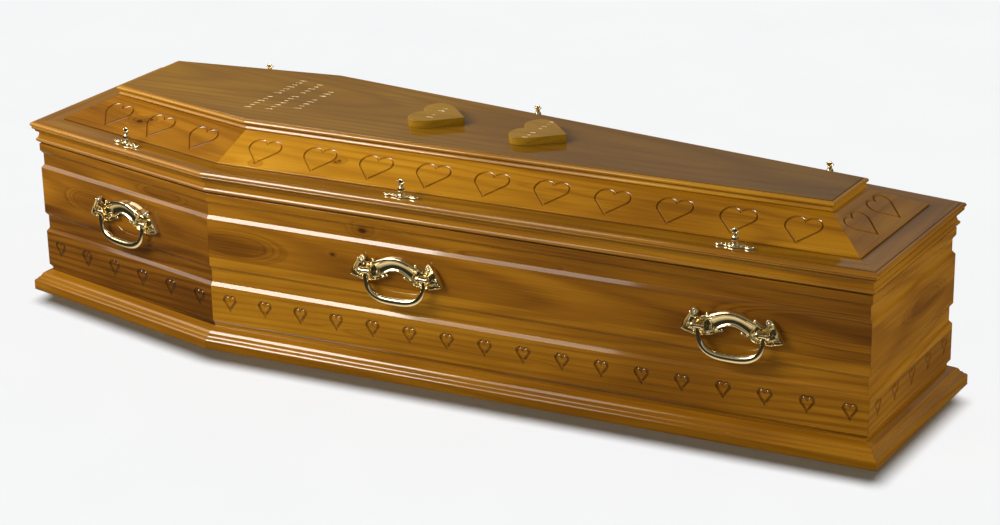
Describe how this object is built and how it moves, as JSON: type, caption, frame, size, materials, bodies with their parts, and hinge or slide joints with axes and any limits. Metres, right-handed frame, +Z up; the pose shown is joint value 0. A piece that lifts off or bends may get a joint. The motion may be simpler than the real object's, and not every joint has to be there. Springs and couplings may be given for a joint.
{
  "type": "wooden coffin",
  "caption": "Lacquered six-sided wooden coffin on a moulded plinth, with a sloping lid carved with hearts, brass swing handles and brass thumbscrews.",
  "frame": {"origin": "middle of the underside, on the floor plane", "axes": "+X along the coffin from the head end to the foot end, +Y across it, +Z up; the side seen in front in the picture faces -Y"},
  "size_m": [2.0056, 0.694, 0.4724],
  "materials": {
    "side_wood": "brown-amber hardwood under glossy lacquer",
    "lid_wood": "golden amber hardwood under glossy lacquer",
    "polished_brass": "polished"
  },
  "bodies": {
    "coffin": {"bottom_board": "side_wood", "shoulder_board_right": "side_wood", "long_board_right": "side_wood", "foot_board": "side_wood", "long_board_left": "side_wood", "shoulder_board_left": "side_wood", "head_board": "side_wood", "plinth_shoulder_right": "side_wood", "plinth_long_right": "side_wood", "plinth_foot": "side_wood", "plinth_long_left": "side_wood", "plinth_shoulder_left": "side_wood", "plinth_head": "side_wood", "rim_frame_shoulder_right": "lid_wood", "rim_frame_long_right": "lid_wood", "rim_frame_foot": "lid_wood", "rim_frame_long_left": "lid_wood", "rim_frame_shoulder_left": "lid_wood", "rim_frame_head": "lid_wood", "rim_board": "lid_wood", "slope_shoulder_right": "lid_wood", "slope_long_right": "lid_wood", "slope_foot": "lid_wood", "slope_long_left": "lid_wood", "slope_shoulder_left": "lid_wood", "slope_head": "lid_wood", "top_moulding_shoulder_right": "lid_wood", "top_moulding_long_right": "lid_wood", "top_moulding_foot": "lid_wood", "top_moulding_long_left": "lid_wood", "top_moulding_shoulder_left": "lid_wood", "top_moulding_head": "lid_wood", "top_board": "lid_wood", "heart_plaque_1": "lid_wood", "heart_plaque_2": "lid_wood", "winged_plate_right_head": "polished_brass", "winged_plate_right_middle": "polished_brass", "winged_plate_right_foot": "polished_brass", "winged_plate_left_foot": "polished_brass", "winged_plate_left_middle": "polished_brass", "winged_plate_left_head": "polished_brass", "thumbscrew_right_head": "polished_brass", "thumbscrew_right_middle": "polished_brass", "thumbscrew_right_foot": "polished_brass", "thumbscrew_left_foot": "polished_brass", "thumbscrew_left_middle": "polished_brass", "thumbscrew_left_head": "polished_brass", "handle_back_right_head": "polished_brass", "handle_back_right_middle": "polished_brass", "handle_back_right_foot": "polished_brass", "handle_back_left_foot": "polished_brass", "handle_back_left_middle": "polished_brass", "handle_back_left_head": "polished_brass"},
    "bail_right_head": {"bail_right_head": "polished_brass"},
    "bail_right_middle": {"bail_right_middle": "polished_brass"},
    "bail_right_foot": {"bail_right_foot": "polished_brass"},
    "bail_left_foot": {"bail_left_foot": "polished_brass"},
    "bail_left_middle": {"bail_left_middle": "polished_brass"},
    "bail_left_head": {"bail_left_head": "polished_brass"}
  },
  "joints": [
    {"name": "bail_right_head_swing", "type": "hinge", "parent": "coffin", "child": "bail_right_head", "pos_m": [-0.70738, -0.28819, 0.229], "axis": [-0.9832, 0.1823, 0], "range_deg": [-5, 95]},
    {"name": "bail_right_middle_swing", "type": "hinge", "parent": "coffin", "child": "bail_right_middle", "pos_m": [-0.00977, -0.30008, 0.229], "axis": [-0.997, -0.0779, 0], "range_deg": [-5, 95]},
    {"name": "bail_right_foot_swing", "type": "hinge", "parent": "coffin", "child": "bail_right_foot", "pos_m": [0.70573, -0.24415, 0.229], "axis": [-0.997, -0.0779, 0], "range_deg": [-5, 95]},
    {"name": "bail_left_foot_swing", "type": "hinge", "parent": "coffin", "child": "bail_left_foot", "pos_m": [0.70573, 0.24415, 0.229], "axis": [0.997, -0.0779, 0], "range_deg": [-5, 95]},
    {"name": "bail_left_middle_swing", "type": "hinge", "parent": "coffin", "child": "bail_left_middle", "pos_m": [-0.00977, 0.30008, 0.229], "axis": [0.997, -0.0779, 0], "range_deg": [-5, 95]},
    {"name": "bail_left_head_swing", "type": "hinge", "parent": "coffin", "child": "bail_left_head", "pos_m": [-0.70738, 0.28819, 0.229], "axis": [0.9832, 0.1823, 0], "range_deg": [-5, 95]}
  ]
}
